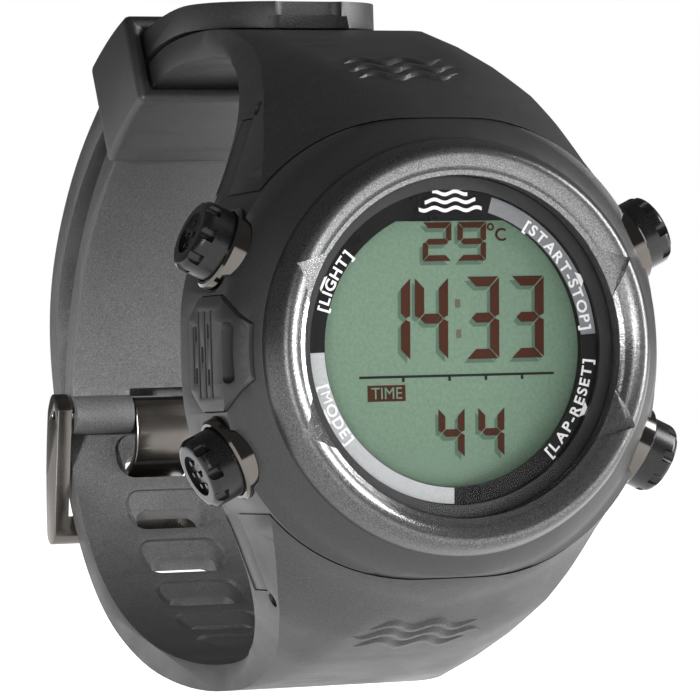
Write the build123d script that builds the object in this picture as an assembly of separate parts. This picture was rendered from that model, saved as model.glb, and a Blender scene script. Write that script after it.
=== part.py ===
"""Wrist dive computer: case, four pushers, pressure port, two-piece strap and buckle.

Millimetres.  The dial faces -Y, twelve o'clock is +Z and three o'clock is +X.  Shapes are drawn
with Y as the depth behind the bezel's outer seam, and are moved at the end so that the origin is
the centre of the case back's outer face, where the watch lies on the wrist.
"""
from build123d import *
import os
from math import cos, hypot, pi, sin

# ---------------------------------------------------------------- driving dimensions
BEZEL_R = 22.0                # bezel, outer seam
BEZEL_RISE = 3.0              # bezel crown above its seam
BEZEL_BORE_R = 18.0
CASE_HALF_X = 24.8
CASE_HALF_Z = 24.2
CASE_CORNER_R = 21.0
CASE_REAR_D = 17.0
BACK_D = 18.5                 # outer face of the case back: the origin
CAVITY_R = 19.0
CAVITY_FRONT_D = 1.8
SKIN_GAP = 0.12               # clearance between fixed neighbours

CRYSTAL_R = 17.8
CRYSTAL_FRONT_D = -1.5
CRYSTAL_T = 1.8
DIAL_R = 17.3
WINDOW_R = 14.7
WINDOW_FLAT_Z = 13.3          # flat top of the dial's window

PUSHER_ANGLE = 25.3           # degrees from the three-nine line
PUSHER_D = 7.6
PUSHER_SEAT_R = 24.4
COLLAR_R = 4.6
COLLAR_H = 1.9
CAP_R = 3.9
CAP_BASE = 1.4               # underside of the cap above the collar's seat
CAP_H = 3.9
STEM_R = 1.2
PUSHERS = {"light": 180 - PUSHER_ANGLE, "start_stop": PUSHER_ANGLE,
           "mode": 180 + PUSHER_ANGLE, "lap_reset": -PUSHER_ANGLE}

SENSOR_D = 8.6
GRILLE_T = 1.0
SCREW_R = 17.4                # circle of the case back's screws
BOSS_R = 1.75
SCREWS = [(SCREW_R * cos(a * pi / 180), SCREW_R * sin(a * pi / 180)) for a in (45, 135, 225, 315)]

BAR_D, BAR_Z = 14.2, 26.2     # strap spring bars
BAR_R = 0.75
LUG_HALF_X = 11.8

STRAP_HALF = 11.5             # strap half-width behind the wings
STRAP_T = 3.0
WING_POINTS = 6               # points of each strap line that belong to its tapered root
SLOT_PITCH = 8.0
SLOT_W, SLOT_L = 8.4, 3.0
POCKET_W, POCKET_L, POCKET_DEPTH = 11.2, 5.6, 1.5
POCKET_SLOPE = 13.0           # degrees, the floor rising towards the tip
SLOTS_BELOW, SLOTS_ABOVE = 5, 12
TIP_D = 38.5                  # strap tip, over the short strap

KEEPER_D, KEEPER_Z = 66.8, 33.0
KEEPER_SLOPE = -25.0
KEEPER_LENGTH = 14.0
KEEPER_GAP = 0.5
KEEPER_WALL = 1.7

BUCKLE_D, BUCKLE_Z = 92.6, -5.5
BUCKLE_BAR_R = 0.8
STRAP_EYE_R = 2.4
NOTCH_HALF = 4.1
PRONG_HALF = 3.75
PRONG_HOLE_Z = -13.0          # where the prong leaves the long strap's outer surface
PRONG_T = 1.1
FRAME_GAP = 0.5
FRAME_SIDE = 1.8
FRAME_FOOT_Z = -20.0


# ---------------------------------------------------------------- sketch planes and helpers
def front(depth):
    """Plane seen from the dial side: x to three o'clock, y to twelve, normal to the viewer."""
    return Plane((0, depth, 0), x_dir=(1, 0, 0), z_dir=(0, -1, 0))


SIDE = Plane((0, 0, 0), x_dir=(0, 1, 0), z_dir=(1, 0, 0))      # x is depth, y is height
ABOVE = Plane((0, 0, 0), x_dir=(1, 0, 0), z_dir=(0, 0, 1))     # x is width, y is depth


def slab(sketch, near, far):
    """Extrude a front-view sketch between two depths."""
    return extrude(front(far) * sketch, far - near)


def across(sketch, half, centre=0.0):
    """Extrude a side-view sketch symmetrically in width."""
    return Pos(centre - half, 0, 0) * extrude(SIDE * sketch, 2 * half)


def ring(outer, inner, near, far):
    return slab(Circle(outer) - Circle(inner), near, far)


def turned(points):
    """Revolve an outline of (radius, depth) points about the dial's axis."""
    return revolve(make_face(Polyline(*points, close=True)), Axis.Y)


def rod(radius, half, depth, height, centre=0.0):
    return across(Pos(depth, height) * Circle(radius), half, centre)


def radial(angle, radius, depth=PUSHER_D):
    """Location on a pusher's axis, its z axis pointing out of the case."""
    a = angle * pi / 180
    return Plane((radius * cos(a), depth, radius * sin(a)), x_dir=(0, 1, 0),
                 z_dir=(cos(a), 0, sin(a))).location


def drum(radius, start, end):
    """Cylinder on a pusher's own axis between two distances from the case's centre."""
    return Pos(0, 0, start) * extrude(Circle(radius), end - start)


def on_axis(angle, shape):
    """Put a shape drawn along z, measured from the case's centre, on a pusher's axis."""
    return radial(angle, 0) * shape


def offset_line(points, distance):
    """Points moved sideways from a line, to the right of its direction."""
    moved = []
    last = len(points) - 1
    for i, (x, y) in enumerate(points):
        x0, y0 = points[max(i - 1, 0)]
        x1, y1 = points[min(i + 1, last)]
        length = hypot(x1 - x0, y1 - y0)
        moved.append((x + distance * (y1 - y0) / length, y - distance * (x1 - x0) / length))
    return moved


def band(outer, inner):
    """Closed face between two splines that run the same way."""
    return make_face(Spline(*outer) + Line(outer[-1], inner[-1]) + Spline(*inner[::-1])
                     + Line(inner[0], outer[0]))


# ---------------------------------------------------------------- case
def case_outline(grow=0.0):
    return RectangleRounded(2 * (CASE_HALF_X + grow), 2 * (CASE_HALF_Z + grow), CASE_CORNER_R + grow)


def case_blank(grow=0.0):
    """Rounded-square barrel with a sloping shoulder round the bezel."""
    dome = turned([(0, 0.2), (BEZEL_R, 0.2), (24.0 + grow, 2.1 - grow), (25.2 + grow, 4.0 - grow),
                   (30, 6.5), (30, 14.0), (24.6 + grow, CASE_REAR_D), (0, CASE_REAR_D)])
    return dome & slab(case_outline(grow), -1, BACK_D + 1)


def wing_outline(side, grow=0.0):
    """Front view of the strap's root: wide at the case and tapering to the band."""
    right = [(20.25, 16.1), (18.4, 20.4), (16.3, 26.0), (13.6, 31.2), (11.7, 35.4), (STRAP_HALF, 37.0)]
    edge = [(x + grow, side * z) for x, z in right]
    mirror = [(-x, z) for x, z in edge]
    foot, tip = edge[0][0], edge[-1][0]
    top = side * 44
    return make_face(Line((foot, 0), edge[0]) + Spline(*edge)
                     + Polyline(edge[-1], (tip, top), (-tip, top), mirror[-1])
                     + Spline(*mirror[::-1]) + Polyline(mirror[0], (-foot, 0), (foot, 0)))


def wing_plan():
    """Plan view of the strap's root: narrowing as it runs back from the case."""
    edge = [(19.0, 20), (15.6, 25), (13.0, 30), (11.8, 36), (STRAP_HALF, 42)]
    mirror = [(-x, d) for x, d in edge]
    return make_face(Polyline((22, 0), (22, 14), edge[0]) + Spline(*edge)
                     + Polyline(edge[-1], (STRAP_HALF, 45), (-STRAP_HALF, 45), mirror[-1])
                     + Spline(*mirror[::-1]) + Polyline(mirror[0], (-22, 14), (-22, 0), (22, 0)))


def lug(side, grow=0.0, overhang=-SKIN_GAP):
    """Case tongue under the strap's flap, and the knuckle that the spring bar passes through."""
    tongue = (across(Pos(16.4, side * 20.0) * Rectangle(3.6 + 2 * grow, 10.2 + 2 * grow), 24)
              & slab(wing_outline(side, overhang), 10, 20))
    arm = Pos(BAR_D, side * (BAR_Z - 2)) * Rectangle(4.6 + 2 * grow, 4.0)
    knuckle = across(arm + Pos(BAR_D, side * BAR_Z) * Circle(2.3 + grow), LUG_HALF_X + grow)
    return tongue + knuckle


def grille_outline(grow=0.0):
    """Hexagon of the pressure port's cover in side view."""
    half = [(1.0 - grow, 2.9), (4.2, 6.0 + grow), (10.4, 6.0 + grow), (13.2 + grow, 3.8)]
    return make_face(Polyline(*half, *[(d, -z) for d, z in half[::-1]], close=True))


def make_case_body():
    body = case_blank() + lug(1) + lug(-1)
    body -= slab(Circle(CAVITY_R), CAVITY_FRONT_D, 15.4)
    body -= slab(Circle(CRYSTAL_R + 0.3), 0, 4)
    body -= slab(Circle(20.4), 15.2, BACK_D + 1)
    for angle in PUSHERS.values():
        body -= on_axis(angle, drum(COLLAR_R + 0.05, PUSHER_SEAT_R, 32) + drum(2.85, 15, 25))
    for side in (1, -1):
        body -= rod(BAR_R + 0.05, 30, BAR_D, side * BAR_Z)
    body -= across(grille_outline(SKIN_GAP), 5, -CASE_HALF_X) - case_blank(-GRILLE_T - SKIN_GAP)
    body -= Pos(-18, SENSOR_D, 0) * Rot(0, -90, 0) * extrude(Circle(4.4), 6)
    for x, z in SCREWS:
        body += slab(Pos(x, z) * Circle(BOSS_R), 9.6, 15.9)
        body -= slab(Pos(x, z) * Circle(0.65), 11.5, 16.5)
    return body


def make_bezel():
    crown = revolve(make_face(
        Line((BEZEL_R, 0.2), (BEZEL_R, 0.0))
        + Spline((BEZEL_R, 0.0), (21.6, -1.6), (20.4, -BEZEL_RISE), (19.3, -2.75), (18.5, -1.9),
                 tangents=[(0, -1), (-1, 1.6)])
        + Polyline((18.5, -1.9), (BEZEL_BORE_R, -1.7), (BEZEL_BORE_R, -0.3), (19.4, 0.2), (BEZEL_R, 0.2))),
        Axis.Y)
    for angle in PUSHERS.values():
        crown -= Rot(0, -angle, 0) * arrow_cut()
    return crown


def arrow_cut():
    """Triangular facet in the bezel that points at a pusher, its floor falling to the bore."""
    floor = Plane((21.1, -2.2, 0), x_dir=(-1, 0.20, 0), z_dir=(-0.20, -1, 0))
    return extrude(floor * make_face(Polyline((0, 0), (3.8, 3.3), (3.8, -3.3), close=True)), 3)


def make_crystal():
    return slab(Circle(CRYSTAL_R), CRYSTAL_FRONT_D, CRYSTAL_FRONT_D + CRYSTAL_T)


def make_crystal_gasket():
    return ring(CRYSTAL_R + 0.2, 16.6, 0.35, 0.95)


def window(radius, flat):
    return Circle(radius) & Pos(0, flat - 30) * Rectangle(60, 60)


def make_dial_ring():
    plate = slab(Circle(DIAL_R) - window(WINDOW_R, WINDOW_FLAT_Z), 1.0, 1.5)
    wall = slab(Circle(DIAL_R) - window(WINDOW_R + 0.4, WINDOW_FLAT_Z + 0.4), 1.5, 2.7)
    return plate + wall


def clipped_square(half, clip):
    return chamfer(Rectangle(2 * half, 2 * half).vertices(), clip)


def make_lcd_panel():
    return slab(clipped_square(15.3, 6.5), 2.8, 4.6)


def make_backlight_panel():
    return slab(chamfer(Rectangle(30, 26).vertices(), 5), 4.7, 5.5)


def zebra_strips(grow=0.0):
    strip = Rectangle(18 + 2 * grow, 1.4 + 2 * grow)
    return Pos(0, 14.4) * strip + Pos(0, -14.4) * strip


def make_zebra_connectors():
    return slab(zebra_strips(), 4.65, 8.05)


def make_module_frame():
    body = slab(Circle(18.3), 4.7, 8.0) - slab(chamfer(Rectangle(30.3, 26.3).vertices(), 5), 4, 5.6)
    return body - slab(Rectangle(22, 22), 5, 9) - slab(zebra_strips(0.1), 4, 9)


def make_circuit_board():
    board = slab(Circle(18.3), 8.1, 9.1)
    for x, z, w, h in ((-5, -4, 6, 6), (6, 5, 4, 5), (7, -6, 3, 2)):
        board += slab(Pos(x, z) * Rectangle(w, h), 7.2, 8.1)
    return board


def make_battery():
    return ring(12.25, 11.3, 9.9, 14.6) + slab(Circle(11.3), 9.6, 14.9)


def make_battery_clip():
    strap = slab(Rectangle(6, 27.4), 14.95, 15.15)
    for side in (1, -1):
        strap += slab(Pos(0, side * 13.6) * Rectangle(6, 0.3), 9.15, 15.15)
    return strap


def make_buzzer():
    return slab(Circle(5.0), 15.75, 15.95) + slab(Circle(3.4), 15.6, 15.75)


def make_pressure_sensor():
    can = Pos(-19.3, SENSOR_D, 0) * Rot(0, -90, 0)
    body = extrude(Circle(4.3), 1.8) + extrude(Circle(3.0), 3.0)
    return can * (body - Pos(0, 0, 2.5) * extrude(Circle(2.4), 1))


def make_sensor_oring():
    return Pos(-21.7, SENSOR_D, 0) * Rot(0, -90, 0) * Torus(3.68, 0.55)


def make_sensor_grille():
    cover = across(grille_outline(), 6, -CASE_HALF_X - 1) & (case_blank(0.3) - case_blank(-GRILLE_T))
    for depth in (6.8, 8.6, 10.4, 12.0):
        reach = 4.6 if depth < 11 else 3.0
        cover -= across(Pos(depth, 0) * SlotOverall(2 * reach, 0.45, rotation=90), 0.3, -CASE_HALF_X - 0.3)
    for depth, height in ((7.7, 2.4), (7.7, -2.4), (9.5, 0), (11.3, 2.2), (11.3, -2.2)):
        cover -= across(Pos(depth, height) * SlotOverall(1.7, 0.6, rotation=90), 4, -CASE_HALF_X)
    recess = across(Pos(2.9, 0) * SlotOverall(6.4, 1.6, rotation=90), 1.0, -CASE_HALF_X - 0.1)
    return cover - recess


def make_case_back():
    cover = slab(Circle(20.2), 16.0, 17.4) + slab(Circle(15.5), 17.4, BACK_D)
    cover = chamfer(cover.edges().filter_by(GeomType.CIRCLE).group_by(Axis.Y)[-1], 0.5)
    for x, z in SCREWS:
        cover -= slab(Pos(x, z) * Circle(0.85), 15, 19) + slab(Pos(x, z) * Circle(1.5), 16.7, 19)
    for angle in range(0, 360, 60):
        cover -= Rot(0, angle, 0) * slab(Pos(13.2, 0) * SlotOverall(2.4, 1.2), BACK_D - 0.6, BACK_D + 1)
    return cover


def make_case_back_gasket():
    return ring(20.2, 19.4, 15.3, 15.9)


def make_case_back_screws():
    screws = []
    for x, z in SCREWS:
        screw = slab(Pos(x, z) * Circle(1.4), 16.75, 17.5) + slab(Pos(x, z) * Circle(0.6), 12.0, 16.75)
        screws.append(screw - slab(Pos(x, z) * (Rectangle(1.9, 0.3) + Rectangle(0.3, 1.9)), 17.1, 18))
    return Compound(children=screws)


# ---------------------------------------------------------------- pushers
def make_collar(angle):
    body = drum(COLLAR_R, PUSHER_SEAT_R, PUSHER_SEAT_R + COLLAR_H) + drum(2.8, 21.6, PUSHER_SEAT_R)
    body = chamfer(body.edges().filter_by(GeomType.CIRCLE).group_by(Axis.Z)[-1], 0.25)
    body -= drum(CAP_R + 0.15, PUSHER_SEAT_R + 0.2, 32) + drum(1.6, 20, 26)
    return on_axis(angle, body)


def make_cap(angle):
    """Scalloped head with a dished face, hollow for its spring, on a grooved stem."""
    base, top = PUSHER_SEAT_R + CAP_BASE, PUSHER_SEAT_R + CAP_BASE + CAP_H
    head = drum(CAP_R, base, top)
    head = fillet(head.edges().filter_by(GeomType.CIRCLE).group_by(Axis.Z)[-1], 0.9)
    for i in range(8):
        head -= Rot(0, 0, i * 45) * Pos(CAP_R + 0.15, 0, 0) * drum(0.75, top - 1.5, top + 1)
    head -= drum(2.3, top - 0.5, top + 1) + drum(2.75, base - 1, base + 1.6)
    stem = drum(STEM_R, 19.9, base + 1.7)
    stem -= drum(2, 22.2, 23.8) - drum(1.0, 22.2, 23.8)
    stem -= drum(2, 21.15, 21.5) - drum(0.9, 21.15, 21.5)
    for i in range(6):
        head += Rot(0, 0, i * 60) * Pos(1.5, 0, 0) * drum(0.28, top - 0.6, top - 0.25)
    head += drum(0.35, top - 0.6, top - 0.25)
    return on_axis(angle, head + stem)


def make_spring(angle):
    wire, coil_r, start, length = 0.2, 2.2, PUSHER_SEAT_R + 0.42, 2.3
    helix = Helix(pitch=length / 3.5, height=length, radius=coil_r)
    profile = Plane(origin=helix @ 0, z_dir=helix % 0) * Circle(wire)
    return on_axis(angle, Pos(0, 0, start) * sweep(profile, helix))


def make_seals(angle):
    """Sleeve seal in the stem's groove, with two lips against the bore."""
    sleeve = drum(1.3, 22.25, 23.75) + drum(1.55, 22.25, 22.65) + drum(1.55, 23.35, 23.75)
    return on_axis(angle, sleeve - drum(1.03, 22, 24))


def make_circlip(angle):
    clip = drum(2.1, 21.18, 21.47) - drum(0.95, 21, 22) - Pos(1.6, 0, 21) * Box(2, 1.2, 2)
    return on_axis(angle, clip)


# ---------------------------------------------------------------- strap
# Outer surfaces in side view, (depth, height), from the case round to the free ends.
SHORT_OUTER = [(8, 27.6), (13, 30.2), (19.5, 32.8), (26, 34.8), (34, 36.4), (42, 37.1), (50, 37.0),
               (58, 35.9), (65.5, 33.0), (73.5, 28.0), (80.5, 22.6), (86.5, 16.4), (91.2, 9.0), (93.9, 2.0),
               (95.0, -4.5)]
LONG_OUTER = [(8, -27.6), (13, -30.2), (19.5, -32.8), (26, -34.9), (34, -36.5), (42, -37.3), (50, -37.5),
              (58, -37.0), (66, -35.8), (74, -33.5), (81.5, -30.0), (88, -24.8), (93.2, -18.0),
              (96.9, -10.0), (99.4, -2.0), (100.1, 5.0), (98.6, 11.5), (94.4, 18.4), (87.8, 25.2),
              (80.2, 30.6), (71.5, 35.4), (61.5, 39.0), (52, 40.4), (44.5, 40.5), (38.5, 40.2)]
# Inner surface of the wings, from the case back to the plain band.
WING_INNER = [(18.6, 23.3), (20.4, 26.6), (23.6, 29.2), (28.4, 31.7), (34.5, 33.4)]


def wing(side, strap_outer):
    """Strap root: flap over the lug, shaped by the case's dome and by its own taper."""
    outer = strap_outer[:WING_POINTS]
    band_start = offset_line(strap_outer[WING_POINTS - 1:], side * STRAP_T)[0]
    inner = [(d, side * z) for d, z in WING_INNER] + [band_start]
    face = make_face(Polyline((1.0, side * 12), (1.0, side * 22.9), (2.6, side * 24.6), outer[0])
                     + Spline(*outer) + Line(outer[-1], band_start) + Spline(*inner[::-1])
                     + Polyline(inner[0], (18.4, side * 20), (18.4, side * 12), (1.0, side * 12)))
    dome = turned([(0, 0.2), (BEZEL_R, 0.2), (24.0, 2.1), (25.8, 4.6), (27.2, 7.2), (29.6, 10.6),
                   (31.6, 13.8), (34.0, 19.5), (36.0, 25.5), (38.2, 34), (39.4, 42), (40, 46), (0, 46)])
    plan = Pos(0, 0, -50) * extrude(ABOVE * wing_plan(), 100)
    solid = across(face, 21) & slab(wing_outline(side), -2, 50) & dome & plan
    solid -= slab(case_outline(SKIN_GAP), -2, 30) + lug(side, SKIN_GAP, 2.0)
    return solid - rod(BAR_R + 0.03, 30, BAR_D, side * BAR_Z)


def plain_band(outer, side):
    """Band of constant width and thickness."""
    return across(band(outer, offset_line(outer, side * STRAP_T)), STRAP_HALF)


def make_strap_buckle_side():
    """Short strap: its end wraps round the buckle bar, with a notch for the prong."""
    solid = wing(1, SHORT_OUTER) + plain_band(SHORT_OUTER[WING_POINTS - 1:], 1)
    solid += rod(STRAP_EYE_R, STRAP_HALF, BUCKLE_D, BUCKLE_Z)
    solid -= across(Pos(BUCKLE_D, -5.55) * Rectangle(14, 6.3), NOTCH_HALF)
    return solid - rod(BUCKLE_BAR_R + 0.03, 30, BUCKLE_D, BUCKLE_Z)


def long_strap_line():
    return Edge.make_spline([Vector(0, d, z) for d, z in LONG_OUTER[WING_POINTS - 1:]])


def prong_station(line):
    """Distance along the long strap at which the prong passes through it."""
    best = min((abs((line @ (i / 400)).Z - PRONG_HOLE_Z), i) for i in range(40, 260))
    return best[1] / 400 * line.length


def slot_cutter(line, distance):
    """Through slot and the scooped pocket that leads to it on the strap's inner side."""
    t = distance / line.length
    tangent = line % t
    face = Plane(line @ t, x_dir=(1, 0, 0), z_dir=(0, -tangent.Z, tangent.Y))
    through = extrude(face.offset(-6) * RectangleRounded(SLOT_W, SLOT_L, SLOT_L / 2 - 0.05), 12)
    floor = face.offset(STRAP_T - POCKET_DEPTH) * Pos(0, -SLOT_L / 2) * Rot(POCKET_SLOPE, 0, 0)
    return through + extrude(floor * Pos(0, POCKET_L / 2) * RectangleRounded(POCKET_W, POCKET_L, 2.2), 4)


def make_strap_hole_side():
    """Long strap: slotted from the lower bend up and over the top to its rounded tip."""
    solid = plain_band(LONG_OUTER[WING_POINTS - 1:], -1)
    rounded_end = Pos(0, TIP_D + STRAP_HALF) * Circle(STRAP_HALF)
    tongue = rounded_end + Pos(0, 70) * Rectangle(2 * STRAP_HALF, 2 * (58.5 - TIP_D))
    corners = Pos(0, TIP_D + 5) * Rectangle(40, 20) - tongue
    solid = wing(-1, LONG_OUTER) + (solid - Pos(0, 0, 20) * extrude(corners, 30))
    line = long_strap_line()
    start = prong_station(line)
    for i in range(-SLOTS_BELOW, SLOTS_ABOVE + 1):
        solid -= slot_cutter(line, start + i * SLOT_PITCH)
    return solid


def make_spring_bar(side):
    half = 15.2
    return rod(BAR_R, half - 0.6, BAR_D, side * BAR_Z) + rod(0.45, half, BAR_D, side * BAR_Z)


# ---------------------------------------------------------------- buckle and keeper
def make_buckle_spring_bar():
    return rod(BUCKLE_BAR_R, STRAP_HALF + FRAME_GAP - 0.1, BUCKLE_D, BUCKLE_Z) + \
        rod(0.5, STRAP_HALF + FRAME_GAP + 1.2, BUCKLE_D, BUCKLE_Z)


def make_buckle_frame():
    """Two side arms on the bar's ends, joined by a foot outside the long strap."""
    inner_x = STRAP_HALF + FRAME_GAP
    side_view = make_face(Spline((BUCKLE_D - 1.9, BUCKLE_Z + 0.6), (BUCKLE_D + 0.2, BUCKLE_Z + 2.6),
                                 (BUCKLE_D + 2.4, BUCKLE_Z + 0.5))
                          + Spline((BUCKLE_D + 2.4, BUCKLE_Z + 0.5), (96.2, -12.0), (96.6, FRAME_FOOT_Z))
                          + ThreePointArc((96.6, FRAME_FOOT_Z), (95.2, -21.4), (93.6, FRAME_FOOT_Z))
                          + Spline((93.6, FRAME_FOOT_Z), (92.4, -13.0), (BUCKLE_D - 1.9, BUCKLE_Z + 0.6)))
    frame = across(side_view, inner_x + FRAME_SIDE)
    frame -= Pos(0, 94, -9.25) * Box(2 * inner_x, 12, 17.5)
    return frame - rod(0.55, 30, BUCKLE_D, BUCKLE_Z)


def make_buckle_prong():
    """Flat tongue rolled round the bar, out through a slot and down onto the frame's foot."""
    outer = [(91.75, -5.6), (91.6, -8.4), (92.3, -10.6), (94.0, -11.8), (96.0, -12.7), (97.8, -14.0),
             (98.5, -16.6), (98.3, -21.0)]
    blade = across(band(outer, offset_line(outer, PRONG_T)), PRONG_HALF)
    roll = rod(1.95, PRONG_HALF, BUCKLE_D, BUCKLE_Z)
    return blade + roll - rod(BUCKLE_BAR_R + 0.05, 30, BUCKLE_D, BUCKLE_Z)


def make_keeper():
    """Moulded loop that holds the tail against the short strap."""
    def sleeve(grow):
        over = offset_line(LONG_OUTER[17:25], grow)
        under = offset_line(SHORT_OUTER[5:12], STRAP_T + grow)
        return across(band(over[::-1], under), STRAP_HALF + grow)

    ends = Pos(KEEPER_D, KEEPER_Z) * Rectangle(KEEPER_LENGTH, 40, rotation=KEEPER_SLOPE)
    return (sleeve(KEEPER_GAP + KEEPER_WALL) & across(ends, 30)) - sleeve(KEEPER_GAP)


PARTS = {}


def build():
    PARTS["case_body"] = make_case_body()
    PARTS["bezel"] = make_bezel()
    PARTS["crystal"] = make_crystal()
    PARTS["crystal_gasket"] = make_crystal_gasket()
    PARTS["dial_ring"] = make_dial_ring()
    PARTS["lcd_panel"] = make_lcd_panel()
    PARTS["backlight_panel"] = make_backlight_panel()
    PARTS["zebra_connectors"] = make_zebra_connectors()
    PARTS["module_frame"] = make_module_frame()
    PARTS["circuit_board"] = make_circuit_board()
    PARTS["battery"] = make_battery()
    PARTS["battery_clip"] = make_battery_clip()
    PARTS["buzzer"] = make_buzzer()
    PARTS["pressure_sensor"] = make_pressure_sensor()
    PARTS["sensor_oring"] = make_sensor_oring()
    PARTS["sensor_grille"] = make_sensor_grille()
    PARTS["case_back"] = make_case_back()
    PARTS["case_back_gasket"] = make_case_back_gasket()
    PARTS["case_back_screws"] = make_case_back_screws()
    for name, angle in PUSHERS.items():
        PARTS[name + "_button"] = make_cap(angle)
        PARTS[name + "_collar"] = make_collar(angle)
        PARTS[name + "_spring"] = make_spring(angle)
        PARTS[name + "_seals"] = make_seals(angle)
        PARTS[name + "_circlip"] = make_circlip(angle)
    PARTS["strap_buckle_side"] = make_strap_buckle_side()
    PARTS["strap_hole_side"] = make_strap_hole_side()
    PARTS["spring_bar_12"] = make_spring_bar(1)
    PARTS["spring_bar_6"] = make_spring_bar(-1)
    PARTS["buckle_frame"] = make_buckle_frame()
    PARTS["buckle_prong"] = make_buckle_prong()
    PARTS["buckle_spring_bar"] = make_buckle_spring_bar()
    PARTS["keeper"] = make_keeper()


build()
os.makedirs("parts", exist_ok=True)
for node, shape in PARTS.items():
    export_step(Pos(0, -BACK_D, 0) * shape, f"parts/{node}.step")
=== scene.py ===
"""Looks for the wrist dive computer: materials, display, dial printing, reliefs, floor and light."""
from math import cos, pi, radians, sin

import bmesh
import bpy
from mathutils import Matrix, Vector
from mathutils.bvhtree import BVHTree


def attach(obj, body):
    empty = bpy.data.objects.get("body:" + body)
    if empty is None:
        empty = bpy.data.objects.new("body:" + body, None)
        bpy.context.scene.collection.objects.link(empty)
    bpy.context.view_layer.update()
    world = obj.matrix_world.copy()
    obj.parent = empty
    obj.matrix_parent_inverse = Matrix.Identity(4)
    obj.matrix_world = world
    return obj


MM = 0.001
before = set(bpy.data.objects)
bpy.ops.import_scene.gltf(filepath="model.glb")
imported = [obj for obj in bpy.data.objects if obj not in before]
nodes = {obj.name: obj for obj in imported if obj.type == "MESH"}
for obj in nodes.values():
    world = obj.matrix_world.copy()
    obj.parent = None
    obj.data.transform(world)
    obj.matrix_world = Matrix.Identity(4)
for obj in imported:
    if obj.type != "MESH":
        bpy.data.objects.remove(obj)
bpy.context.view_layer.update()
scene = bpy.context.scene

# Drawing sizes and depths are in millimetres. Depth runs along Y, and whoever reads the dial looks along +Y.
SEAM_Y = -18.5                      # the bezel's seam; the dial's depths are counted from it
DIAL_FACE_Y = SEAM_Y + 1.0          # front of the printed ring
LCD_FACE_Y = SEAM_Y + 2.8           # front of the display
FLOOR_Z = -38.5                     # about 1 mm under the watch


# ---------------------------------------------------------------- material helpers, in metres
class Nodes:
    """Short names for building a node material."""

    def __init__(self, name):
        self.material = bpy.data.materials.new(name)
        self.material.use_nodes = True
        self.tree = self.material.node_tree
        self.shader = self.tree.nodes["Principled BSDF"]

    def set(self, **values):
        """Values on the shader's sockets; an underscore stands for a space."""
        for key, value in values.items():
            self.shader.inputs[key.replace("_", " ")].default_value = value

    def add(self, kind, **values):
        """A new node, with each value on its property or socket of that name."""
        node = self.tree.nodes.new(kind)
        for key, value in values.items():
            if hasattr(node, key):
                setattr(node, key, value)
            else:
                node.inputs[key].default_value = value
        return node

    def link(self, source, target):
        self.tree.links.new(source, target)

    def math(self, operation, *sources):
        """Result of a math node fed by one or two sockets."""
        node = self.add("ShaderNodeMath", operation=operation)
        for source, target in zip(sources, node.inputs):
            self.link(source, target)
        return node.outputs[0]

    def noise(self, scale, detail, stretch=(1, 1, 1)):
        """Noise fixed to the object, finer along the axes that are stretched."""
        coords = self.add("ShaderNodeTexCoord")
        mapping = self.add("ShaderNodeMapping", Scale=stretch)
        noise = self.add("ShaderNodeTexNoise", Scale=scale, Detail=detail)
        self.link(coords.outputs["Object"], mapping.inputs["Vector"])
        self.link(mapping.outputs["Vector"], noise.inputs["Vector"])
        return noise.outputs["Fac"]

    def ramp(self, source, *stops):
        """Colour between two stops, each a place and a colour."""
        ramp = self.add("ShaderNodeValToRGB")
        for element, (place, colour) in zip(ramp.color_ramp.elements, stops):
            element.position = place
            element.color = (*colour, 1)
        self.link(source, ramp.inputs["Fac"])
        return ramp.outputs["Color"]

    def remap(self, source, low, high, out_low, out_high):
        """Value that goes from out_low to out_high while the source goes from low to high."""
        node = self.add("ShaderNodeMapRange")
        for key, value in (("From Min", low), ("From Max", high), ("To Min", out_low), ("To Max", out_high)):
            node.inputs[key].default_value = value
        self.link(source, node.inputs["Value"])
        return node.outputs["Result"]

    def colour(self, source):
        self.link(source, self.shader.inputs["Base Color"])

    def roughness(self, source):
        self.link(source, self.shader.inputs["Roughness"])

    def bump(self, source, strength, distance):
        bump = self.add("ShaderNodeBump", Strength=strength, Distance=distance)
        self.link(source, bump.inputs["Height"])
        self.link(bump.outputs["Normal"], self.shader.inputs["Normal"])


def grained(name, dark, light, roughness, grain=9000.0, strength=0.35, depth=0.00006, **values):
    """Moulded rubber or plastic: speckled colour, fine leathery bump and uneven gloss."""
    m = Nodes(name)
    speck = m.noise(grain, 2.0)
    blotch = m.noise(160.0, 4.0)
    m.colour(m.ramp(speck, (0.35, dark), (0.68, light)))
    m.roughness(m.remap(blotch, 0.3, 0.7, roughness - 0.05, roughness + 0.06))
    m.bump(speck, strength, depth)
    m.set(**values)
    return m.material


def metal(name, dark, light, low, high, stretch=(1, 1, 1), grain=400.0):
    """Metal whose tint and roughness, from low to high, vary a little along its grain."""
    m = Nodes(name)
    streak = m.noise(grain, 3.0, stretch)
    m.colour(m.ramp(streak, (0.3, dark), (0.7, light)))
    m.roughness(m.remap(streak, 0.3, 0.7, low, high))
    m.bump(streak, 0.08, 0.00002)
    m.set(Metallic=1.0)
    return m.material


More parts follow.
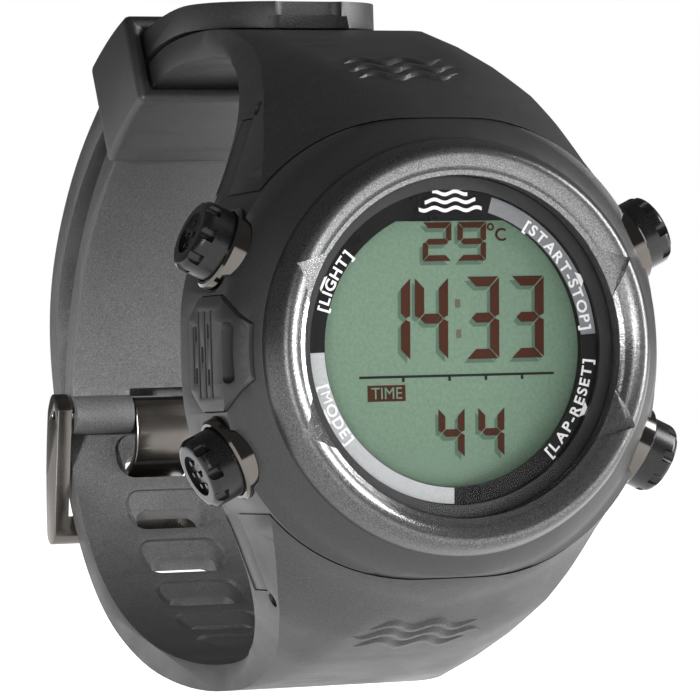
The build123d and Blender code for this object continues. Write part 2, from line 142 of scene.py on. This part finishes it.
def bezel_material():
    """Satin gunmetal with a fine blasted grain, polished towards the inner lip, its colour brightened
    towards the lip as a painted highlight.
    """
    m = Nodes("bezel_metal")
    grain = m.noise(6500, 2.0)
    coords = m.add("ShaderNodeTexCoord")
    axes = m.add("ShaderNodeSeparateXYZ")
    m.link(coords.outputs["Object"], axes.inputs[0])
    x_squared, z_squared = (m.math("MULTIPLY", axes.outputs[k], axes.outputs[k]) for k in "XZ")
    radius = m.math("SQRT", m.math("ADD", x_squared, z_squared))      # the lip ends at about 20 mm
    # painted highlight: the colour is scaled up to 2.1 times towards the inner lip
    tint = m.add("ShaderNodeVectorMath", operation="SCALE")
    m.link(m.ramp(grain, (0.3, grey(0.05)), (0.7, grey(0.14))), tint.inputs[0])
    m.link(m.remap(radius, 0.0192, 0.0208, 2.1, 1.0), tint.inputs["Scale"])
    m.colour(tint.outputs[0])
    m.roughness(m.remap(radius, 0.0186, 0.0205, 0.14, 0.31))
    m.bump(grain, 0.35, 0.00005)
    m.set(Metallic=0.85)
    return m.material


def glass_material():
    """Clear crystal: light passes straight through, and only the surface shines."""
    m = Nodes("crystal_glass")
    clear = m.add("ShaderNodeBsdfTransparent")
    gloss = m.add("ShaderNodeBsdfGlossy", Roughness=0.03)
    fresnel = m.add("ShaderNodeFresnel", IOR=1.18)
    side = m.add("ShaderNodeNewGeometry")
    front_only = m.remap(side.outputs["Backfacing"], 0.0, 1.0, 1.0, 0.0)
    mix = m.add("ShaderNodeMixShader")
    m.link(m.math("MULTIPLY", fresnel.outputs[0], front_only), mix.inputs[0])
    m.link(clear.outputs[0], mix.inputs[1])
    m.link(gloss.outputs[0], mix.inputs[2])
    m.link(mix.outputs[0], m.tree.nodes["Material Output"].inputs["Surface"])
    return m.material


def matt(name, dark, light, grain, detail, roughness):
    """Display or printed ink: near-flat colour with a faint unevenness."""
    m = Nodes(name)
    m.colour(m.ramp(m.noise(grain, detail), (0.3, dark), (0.7, light)))
    m.set(Roughness=roughness, Specular_IOR_Level=0.1)
    return m.material


def ink(name, colour, roughness):
    worn = tuple(c * 0.88 for c in colour)
    return matt(name, worn, colour, 3000, 2.0, roughness)


def grey(value, warm=0.0):
    """A grey, tipped from blue towards red by the share given as warm."""
    return (value * (1 + warm), value, value * (1 - warm))


# ---------------------------------------------------------------- materials
RUBBER = grained("strap_rubber", grey(0.010), grey(0.036), 0.44, grain=7000, strength=0.5, depth=0.00007)
# The keeper is the strap's rubber made darker: painted shade for the shadow it lies in.
KEEPER_PAINTED_SHADE = grained("keeper_rubber_painted_shade", grey(0.007), grey(0.025), 0.46, grain=7000, strength=0.5, depth=0.00007)
CASE = grained("case_plastic", grey(0.012), grey(0.028), 0.42, strength=0.3, depth=0.00005)
GRILLE = grained("port_plastic", grey(0.012), grey(0.026), 0.42, strength=0.2, depth=0.00005)
BLACK_RUBBER = grained("seal_rubber", grey(0.010), grey(0.02), 0.5)
BUTTON = grained("pusher_plastic", grey(0.004), grey(0.011), 0.24, grain=5000, strength=0.12, depth=0.00004,
                 Specular_IOR_Level=0.35)
DIAL = grained("dial_black", grey(0.005), grey(0.010), 0.30, grain=12000, strength=0.1, depth=0.00002,
               Specular_IOR_Level=0.2)
MODULE = grained("module_plastic", grey(0.55), grey(0.7), 0.5)
BOARD = grained("board_green", (0.01, 0.10, 0.03), (0.02, 0.16, 0.05), 0.35)
BACKLIGHT = grained("backlight_diffuser", (0.6, 0.7, 0.6), (0.7, 0.8, 0.7), 0.5)
ZEBRA = metal("zebra_strip", grey(0.05), grey(0.5), 0.5, 0.6, stretch=(40, 1, 1))
GUNMETAL = metal("gunmetal", grey(0.10, 0.10), grey(0.15, 0.08), 0.20, 0.28, grain=90)
COLLAR = metal("collar_chrome", grey(0.09, 0.10), grey(0.15, 0.08), 0.07, 0.13, grain=90)
STEEL = metal("spring_steel", grey(0.55), grey(0.68), 0.16, 0.26)
BACK = metal("back_steel", grey(0.42), grey(0.55), 0.25, 0.38, stretch=(1, 1, 40), grain=900)
BRASS = metal("buzzer_brass", (0.5, 0.36, 0.14), (0.66, 0.5, 0.22), 0.25, 0.4)
BEZEL = bezel_material()
GLASS = glass_material()
LCD = matt("lcd_green", (0.122, 0.186, 0.134), (0.147, 0.220, 0.161), 2600, 3.0, 0.55)
INK_WHITE = ink("ink_white", (0.8, 0.8, 0.8), 0.45)
INK_GREY = ink("ink_grey", (0.20, 0.207, 0.215), 0.45)
INK_SILVER = ink("ink_silver", (0.42, 0.43, 0.44), 0.45)
SEGMENT = ink("lcd_segment", (0.050, 0.016, 0.008), 0.5)
SCALE_LINE = ink("lcd_scale_line", (0.014, 0.014, 0.012), 0.5)
SEGMENT_SHADE = ink("lcd_segment_shadow", (0.080, 0.130, 0.094), 0.6)
SEGMENT_FAINT = ink("lcd_segment_faint", (0.112, 0.102, 0.072), 0.6)
SEGMENT_CUT = ink("lcd_reversed_text", (0.134, 0.212, 0.154), 0.6)

NODE_MATERIALS = {
    "case_body": CASE, "bezel": BEZEL, "crystal": GLASS, "crystal_gasket": BLACK_RUBBER, "dial_ring": DIAL,
    "lcd_panel": LCD, "backlight_panel": BACKLIGHT, "zebra_connectors": ZEBRA, "module_frame": MODULE,
    "circuit_board": BOARD, "battery": STEEL, "battery_clip": STEEL, "buzzer": BRASS,
    "pressure_sensor": STEEL, "sensor_oring": BLACK_RUBBER, "sensor_grille": GRILLE, "case_back": BACK,
    "case_back_gasket": BLACK_RUBBER, "case_back_screws": BACK, "strap_buckle_side": RUBBER,
    "strap_hole_side": RUBBER, "spring_bar_12": STEEL, "spring_bar_6": STEEL, "buckle_frame": GUNMETAL,
    "buckle_prong": GUNMETAL, "buckle_spring_bar": STEEL, "keeper": KEEPER_PAINTED_SHADE}
for pusher in ("light", "start_stop", "mode", "lap_reset"):
    for ending, material in (("button", BUTTON), ("collar", COLLAR), ("spring", STEEL),
                             ("seals", BLACK_RUBBER), ("circlip", STEEL)):
        NODE_MATERIALS[f"{pusher}_{ending}"] = material

# Width of the rounding on each softened CAD node
BEVELS = {"strap_buckle_side": 0.7, "strap_hole_side": 0.7, "keeper": 0.75, "buckle_frame": 0.6,
          "buckle_prong": 0.3, "case_body": 0.35, "sensor_grille": 0.12}


def modifier(obj, kind, name, **values):
    made = obj.modifiers.new(name, kind)
    for key, value in values.items():
        setattr(made, key, value)


def dress_node(name, node):
    """One material on a CAD node, smooth shading between its crisp edges, and soft edges where listed."""
    mesh = node.data
    mesh.materials.clear()
    mesh.materials.append(NODE_MATERIALS[name])
    for polygon in mesh.polygons:
        polygon.material_index = 0
    if "custom_normal" in mesh.attributes:
        mesh.attributes.remove(mesh.attributes["custom_normal"])
    mesh.shade_smooth()
    modifier(node, "WELD", "joined_faces", merge_threshold=2e-6)
    if name in BEVELS:
        modifier(node, "DECIMATE", "flat_faces", decimate_type="DISSOLVE", angle_limit=radians(0.6))
        modifier(node, "BEVEL", "rounded_edges", width=BEVELS[name] * MM, segments=3,
                 limit_method="ANGLE", angle_limit=radians(40))
    modifier(node, "EDGE_SPLIT", "crisp_edges", split_angle=radians(34), use_edge_sharp=False)


for name, node in nodes.items():
    dress_node(name, node)


# ---------------------------------------------------------------- piece helpers
def add_piece(name, mesh, material, body="watch"):
    """An object made from a mesh, painted, and riding on a body."""
    mesh.materials.clear()
    mesh.materials.append(material)
    obj = bpy.data.objects.new(name, mesh)
    scene.collection.objects.link(obj)
    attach(obj, body)
    return obj


def mesh_piece(name, vertices, faces, material):
    """A piece from points in millimetres, with its faces turned outwards."""
    mesh = bpy.data.meshes.new(name)
    mesh.from_pydata([Vector(v) * MM for v in vertices], [], faces)
    mesh.update()
    obj = add_piece(name, mesh, material)
    turned = bmesh.new()
    turned.from_mesh(mesh)
    bmesh.ops.recalc_face_normals(turned, faces=turned.faces)
    turned.to_mesh(mesh)
    turned.free()
    return obj


def flat_prisms(name, outlines, back, thickness, material):
    """Thin plates in front of the depth given as back. Each outline is a list of (x, z)."""
    vertices, faces = [], []
    for outline in outlines:
        start, count = len(vertices), len(outline)
        vertices += [(x, back - thickness, z) for x, z in outline] + [(x, back, z) for x, z in outline]
        faces.append(tuple(range(start, start + count)))
        faces.append(tuple(range(start + 2 * count - 1, start + count - 1, -1)))
        for i in range(count):
            j = (i + 1) % count
            faces.append((start + j, start + i, start + count + i, start + count + j))
    return mesh_piece(name, vertices, faces, material)


def arc_outline(inner, outer, start_deg, end_deg, steps=48):
    """Ring sector, angles counterclockwise from three o'clock."""
    angles = [radians(start_deg + (end_deg - start_deg) * i / steps) for i in range(steps + 1)]
    return ([(outer * cos(a), outer * sin(a)) for a in angles]
            + [(inner * cos(a), inner * sin(a)) for a in reversed(angles)])


def box_outline(x0, x1, z0, z1):
    return [(x0, z0), (x1, z0), (x1, z1), (x0, z1)]


def shifted(outlines, dx, dz):
    return [[(x + dx, z + dz) for x, z in outline] for outline in outlines]


# ---------------------------------------------------------------- letters
LETTER_HALF = 0.02          # half the thickness of a letter
CAPITAL_MIDDLE = 0.35       # this and the next two are shares of the letter size
LETTER_GAP = 0.1568
LETTER_BOLD = 0.022


def letter_mesh(text, size, bold):
    """A text turned into a flat mesh in the x-y plane, with its left and right ends."""
    curve = bpy.data.curves.new("letters", "FONT")
    curve.body = text
    curve.size = size
    curve.offset = 0.0 if "M" in text else bold      # an M's narrow corners fold over when thickened
    curve.extrude = LETTER_HALF
    curve.resolution_u = 6
    holder = bpy.data.objects.new("letters", curve)
    scene.collection.objects.link(holder)
    bpy.context.view_layer.update()
    mesh = bpy.data.meshes.new_from_object(holder)
    bpy.data.objects.remove(holder)
    xs = [v.co.x for v in mesh.vertices]
    return mesh, min(xs), max(xs)


def text_on_arc(name, text, radius, centre_deg, size, back, material, clockwise, widen):
    """Letters bent round the dial. Clockwise text has its feet towards the centre."""
    gap = size * LETTER_GAP
    letters, cursor = [], 0.0
    for letter in text:
        mesh, low, high = letter_mesh(letter, size, size * LETTER_BOLD)
        width = (high - low) * widen
        letters.append((mesh, low, width, cursor + width / 2))
        cursor += width + gap
    total = cursor - gap
    sense = 1 if clockwise else -1
    joined = bmesh.new()
    for mesh, low, width, middle in letters:
        angle = radians(centre_deg) - sense * (middle - total / 2) / radius
        turn = angle - sense * pi / 2
        for v in mesh.vertices:
            x = (v.co.x - low) * widen - width / 2
            y = v.co.y - size * CAPITAL_MIDDLE
            v.co = Vector((radius * cos(angle) + x * cos(turn) - y * sin(turn), back - LETTER_HALF - v.co.z,
                           radius * sin(angle) + x * sin(turn) + y * cos(turn))) * MM
        joined.from_mesh(mesh)
        bpy.data.meshes.remove(mesh)
    bmesh.ops.remove_doubles(joined, verts=joined.verts, dist=1e-7)
    mesh = bpy.data.meshes.new(name)
    joined.to_mesh(mesh)
    joined.free()
    add_piece(name, mesh, material)


def text_on_display(name, text, x, z, size, back, material, widen=1.0):
    """Upright letters on the display, centred on (x, z)."""
    mesh, low, high = letter_mesh(text, size, 0.03)
    for v in mesh.vertices:
        v.co = Vector((x + (v.co.x - (low + high) / 2) * widen, back - LETTER_HALF - v.co.z,
                       z + v.co.y - size * CAPITAL_MIDDLE)) * MM
    add_piece(name, mesh, material)


# ---------------------------------------------------------------- display
SEGMENTS = {"1": "bc", "2": "abged", "3": "abgcd", "4": "fgbc", "9": "abcdfg"}
SLANT = 0.03                            # lean of the digits
SEGMENT_BACK = LCD_FACE_Y - 0.02
TEMPERATURE = dict(width=3.3, height=4.1, stroke=0.62)
HOURS = dict(width=3.8, height=8.7, stroke=1.05)
SECONDS = dict(width=3.0, height=5.2, stroke=0.78)


def digit_outlines(digit, x, z, width, height, stroke):
    """Seven-segment outlines of a digit whose centre is (x, z)."""
    w, h, t, g = width / 2, height / 2, stroke, stroke * 0.09
    half = t / 2
    bars = {
        "a": [(-w + g, h), (w - g, h), (w - t - g, h - t), (-w + t + g, h - t)],
        "d": [(-w + g, -h), (-w + t + g, -h + t), (w - t - g, -h + t), (w - g, -h)],
        "g": [(-w + half + g, 0), (-w + t + g, half), (w - t - g, half), (w - half - g, 0),
              (w - t - g, -half), (-w + t + g, -half)],
        "b": [(w, h - g), (w, half * 0.4 + g), (w - half, g), (w - t, half + g), (w - t, h - t - g)],
        "c": [(w, -h + g), (w - t, -h + t + g), (w - t, -half - g), (w - half, -g), (w, -half * 0.4 - g)],
        "f": [(-w, h - g), (-w + t, h - t - g), (-w + t, half + g), (-w + half, g), (-w, half * 0.4 + g)],
        "e": [(-w, -h + g), (-w, -half * 0.4 - g), (-w + half, -g), (-w + t, -half - g),
              (-w + t, -h + t + g)],
    }
    return [[(x + px + SLANT * pz, z + pz) for px, pz in bars[s]] for s in SEGMENTS[digit]]


def digit_row(digits, places, z, size):
    """Outlines of digits at one height, each centred on its own place along x."""
    return [bar for digit, x in zip(digits, places) for bar in digit_outlines(digit, x, z, **size)]


def on_display(name, outlines, material, back=SEGMENT_BACK, thickness=0.03):
    return flat_prisms(name, outlines, back, thickness, material)


def make_display():
    """Temperature, hours and minutes, a scale line with ticks, a label and seconds."""
    line_bottom, line_top = -3.08, -2.82
    scale = [box_outline(-10.2, 12.2, line_bottom, line_top)]
    scale += [box_outline(x - 0.15, x + 0.15, -3.5, line_bottom) for x in (-5.2, 0.1, 4.3, 8.5)]
    digits = (digit_row("29", (-0.85, 3.15), 11.2, TEMPERATURE)
              + digit_row("1433", (-6.1, -1.75, 4.15, 9.35), 3.1, HOURS)
              + digit_row("44", (0.15, 4.75), -9.0, SECONDS))
    on_display("display_scale", scale, SCALE_LINE)
    on_display("display_segments", digits, SEGMENT)
    on_display("display_shadows", shifted(digits, -0.38, -0.42), SEGMENT_SHADE, LCD_FACE_Y, 0.008)
    on_display("display_colon", [box_outline(1.05, 1.6, z, z + 0.9) for z in (1.0, 4.2)], SEGMENT_FAINT)
    on_display("display_label_box", [box_outline(-9.3, -5.0, -5.5, -3.8)], SEGMENT)
    text_on_display("display_label_text", "TIME", -7.15, -4.62, 1.75, LCD_FACE_Y - 0.06, SEGMENT_CUT, 0.95)
    text_on_display("display_unit", "C", 6.5, 11.9, 1.9, LCD_FACE_Y - 0.03, SEGMENT)
    degree = on_display("display_degree", [arc_outline(0.22, 0.42, 0, 359.9, 24)], SEGMENT)
    degree.location = (5.35 * MM, 0, 12.7 * MM)


# ---------------------------------------------------------------- dial printing
BAND = 14.75, 16.45                     # inner and outer radius of the printed bands
RING = 17.05, 17.18                     # the same of the thin line round the dial
POINTER_FOOT, POINTER_LENGTH, POINTER_HALF = 16.1, 0.9, 0.9
LABEL_RADIUS, LABEL_SIZE, LABEL_WIDEN = 15.45, 1.6, 1.1
LABELS = (("dial_label_start_stop", "[START-STOP]", 31, True),
          ("dial_label_lap_reset", "[LAP-RESET]", -27, False),
          ("dial_label_light", "[LIGHT]", 152, True),
          ("dial_label_mode", "[MODE]", 206, False))


def pointer(angle_deg):
    """Small triangle that points outwards at an angle counted from three o'clock."""
    a = radians(angle_deg)
    tip = POINTER_FOOT + POINTER_LENGTH
    foot_x, foot_z = POINTER_FOOT * cos(a), POINTER_FOOT * sin(a)
    side_x, side_z = -POINTER_HALF * sin(a), POINTER_HALF * cos(a)
    return [(tip * cos(a), tip * sin(a)), (foot_x + side_x, foot_z + side_z),
            (foot_x - side_x, foot_z - side_z)]


def on_dial(name, outlines, back, thickness, material):
    return flat_prisms(name, outlines, back, thickness, material)


def make_dial_printing():
    on_dial("dial_arc_grey", [arc_outline(*BAND, 4, 73)], DIAL_FACE_Y, 0.012, INK_GREY)
    on_dial("dial_arc_silver", [arc_outline(*BAND, 181, 268)], DIAL_FACE_Y, 0.012, INK_SILVER)
    on_dial("dial_line", [arc_outline(*RING, 0, 359.9, 128)], DIAL_FACE_Y, 0.02, INK_SILVER)
    pointers = [pointer(angle) for angle in (25.3, -25.3, 154.7, 205.3)]
    on_dial("dial_pointers", pointers, DIAL_FACE_Y - 0.012, 0.02, INK_WHITE)
    for name, text, angle, clockwise in LABELS:
        text_on_arc(name, text, LABEL_RADIUS, angle, LABEL_SIZE, DIAL_FACE_Y - 0.03, INK_WHITE, clockwise,
                    LABEL_WIDEN)


def make_dial_waves():
    """Generic mark above the display: three short wave lines."""
    steps, lowest, swing, half = 24, 14.55, 0.17, 0.19
    outlines = []
    for rise, reach in ((0.0, 3.6), (0.85, 2.9), (1.7, 2.0)):
        xs = [-reach + 2 * reach * i / steps for i in range(steps + 1)]
        line = [(x, lowest + rise + swing * sin(x * 2.6)) for x in xs]
        outlines.append([(x, z + half) for x, z in line] + [(x, z - half) for x, z in reversed(line)])
    on_dial("dial_waves", outlines, DIAL_FACE_Y, 0.03, INK_WHITE)


# ---------------------------------------------------------------- strap reliefs
RIDGE_SECTION = ((-0.36, -0.08), (-0.16, 0.34), (0.16, 0.34), (0.36, -0.08))     # across the line, and lift


def surface_at(tree, x, z):
    """Point and outward normal of a strap's front surface at a front-view place."""
    in_front = -60
    hit, normal, _, _ = tree.ray_cast(Vector((x, in_front, z)) * MM, Vector((0, 1, 0)))
    if normal.y > 0:
        normal = -normal
    return hit / MM, normal


def make_strap_waves(name, node, height):
    """Raised wave lines on a strap's shoulder, lying on the surface and fading at both ends."""
    tree = BVHTree.FromObject(nodes[node], bpy.context.evaluated_depsgraph_get())
    steps, swing, corners = 60, 0.30, len(RIDGE_SECTION)
    vertices, faces = [], []
    for rise, reach in ((-0.95, 6.2), (0.0, 7.6), (0.95, 6.2)):
        start = len(vertices)
        for i in range(steps + 1):
            x = -reach + 2 * reach * i / steps
            z = height + rise + swing * sin(x * 1.25)
            taper = max(0.04, 1 - (abs(x) / reach) ** 4)
            for across, lift in RIDGE_SECTION:
                place, normal = surface_at(tree, x, z + across * taper)
                vertices.append(place + normal * lift * (taper if lift > 0 else 1))
        for i in range(steps):
            a, b = start + corners * i, start + corners * (i + 1)
            faces += [(a + k, a + (k + 1) % corners, b + (k + 1) % corners, b + k) for k in range(corners)]
        faces += [tuple(start + k for k in reversed(range(corners))),
                  tuple(start + corners * steps + k for k in range(corners))]
    obj = mesh_piece(name, vertices, faces, RUBBER)
    obj.data.shade_smooth()
    modifier(obj, "EDGE_SPLIT", "crisp_edges", split_angle=radians(50), use_edge_sharp=False)


make_display()
make_dial_printing()
make_dial_waves()
make_strap_waves("strap_waves_12", "strap_buckle_side", 30.4)
make_strap_waves("strap_waves_6", "strap_hole_side", -30.4)


# ---------------------------------------------------------------- camera
def add_camera(azimuth, elevation, roll, shift_x, shift_z, distance, lens):
    """Camera on an orbit round the bezel's seam, then shifted in its own picture plane and rolled."""
    a, e, r = radians(azimuth), radians(elevation), radians(roll)
    back = Vector((sin(a) * cos(e), -cos(a) * cos(e), sin(e)))
    right = Vector((0, 0, 1)).cross(back).normalized()
    up = back.cross(right)
    right, up = right * cos(r) + up * sin(r), up * cos(r) - right * sin(r)
    place = right * shift_x + up * shift_z + back * distance + Vector((0, SEAM_Y, 0))
    matrix = Matrix((right, up, back)).transposed().to_4x4()
    matrix.translation = place * MM
    data = bpy.data.cameras.new("camera")
    data.sensor_width = 36
    data.lens = lens
    data.clip_start, data.clip_end = 0.01, 20
    camera = bpy.data.objects.new("camera", data)
    camera.matrix_world = matrix
    scene.collection.objects.link(camera)
    scene.camera = camera


add_camera(azimuth=-22.33, elevation=-1.0, roll=-1.735, shift_x=-11.36, shift_z=-0.32, distance=472.0,
           lens=231.4)


# ---------------------------------------------------------------- light and floor, in metres
def add_lamp(name, data, place, target):
    lamp = bpy.data.objects.new(name, data)
    lamp.location = place
    lamp.rotation_euler = (Vector(target) - Vector(place)).to_track_quat("-Z", "Y").to_euler()
    scene.collection.objects.link(lamp)


def area_light(name, place, target, width, power, height):
    data = bpy.data.lights.new(name, "AREA")
    data.energy = power
    data.shape = "RECTANGLE"
    data.size, data.size_y = width, height
    add_lamp(name, data, place, target)


def spot_light(name, place, target, power, cone_deg, radius):
    data = bpy.data.lights.new(name, "SPOT")
    data.energy, data.spot_size, data.spot_blend = power, radians(cone_deg), 0.6
    data.shadow_soft_size = radius
    add_lamp(name, data, place, target)


area_light("key_light", (-0.50, -0.60, 0.10), (0, 0.01, 0), width=0.25, power=0.62, height=0.5)
area_light("low_light", (-0.24, -0.47, -0.050), (0, -0.015, -0.01), width=0.30, power=3.5, height=0.04)
area_light("right_light", (0.55, -0.36, -0.005), (0, 0.0, 0), width=0.20, power=1.8, height=0.05)
area_light("rim_light", (0.48, -0.16, 0.20), (0, -0.015, 0), width=0.24, power=3.2, height=0.30)
spot_light("strap_light", (-0.30, -0.22, 0.02), (0.0, 0.073, -0.004), power=42.0, cone_deg=8, radius=0.02)


def make_world():
    """White backdrop to the camera, a dimmer even light to the object."""
    world = bpy.data.worlds.new("studio")
    world.use_nodes = True
    tree = world.node_tree
    background = tree.nodes["Background"]
    background.inputs["Color"].default_value = (1, 1, 1, 1)
    path = tree.nodes.new("ShaderNodeLightPath")
    strength = tree.nodes.new("ShaderNodeMapRange")
    strength.inputs["To Min"].default_value = 0.13
    strength.inputs["To Max"].default_value = 1.0
    tree.links.new(path.outputs["Is Camera Ray"], strength.inputs["Value"])
    tree.links.new(strength.outputs["Result"], background.inputs["Strength"])
    scene.world = world


def make_floor():
    """White floor that glows, so that it fades into the backdrop."""
    edge, z = 3.0, FLOOR_Z * MM
    mesh = bpy.data.meshes.new("floor")
    corners = [(-edge, -edge, z), (edge, -edge, z), (edge, edge, z), (-edge, edge, z)]
    mesh.from_pydata(corners, [], [(0, 1, 2, 3)])
    floor = bpy.data.objects.new("floor", mesh)
    white = Nodes("floor_white")
    white.set(Base_Color=(0.8, 0.8, 0.8, 1), Roughness=0.6, Emission_Color=(1, 1, 1, 1),
              Emission_Strength=1.25)
    mesh.materials.append(white.material)
    scene.collection.objects.link(floor)


make_world()
make_floor()
scene.view_settings.view_transform = "Standard"
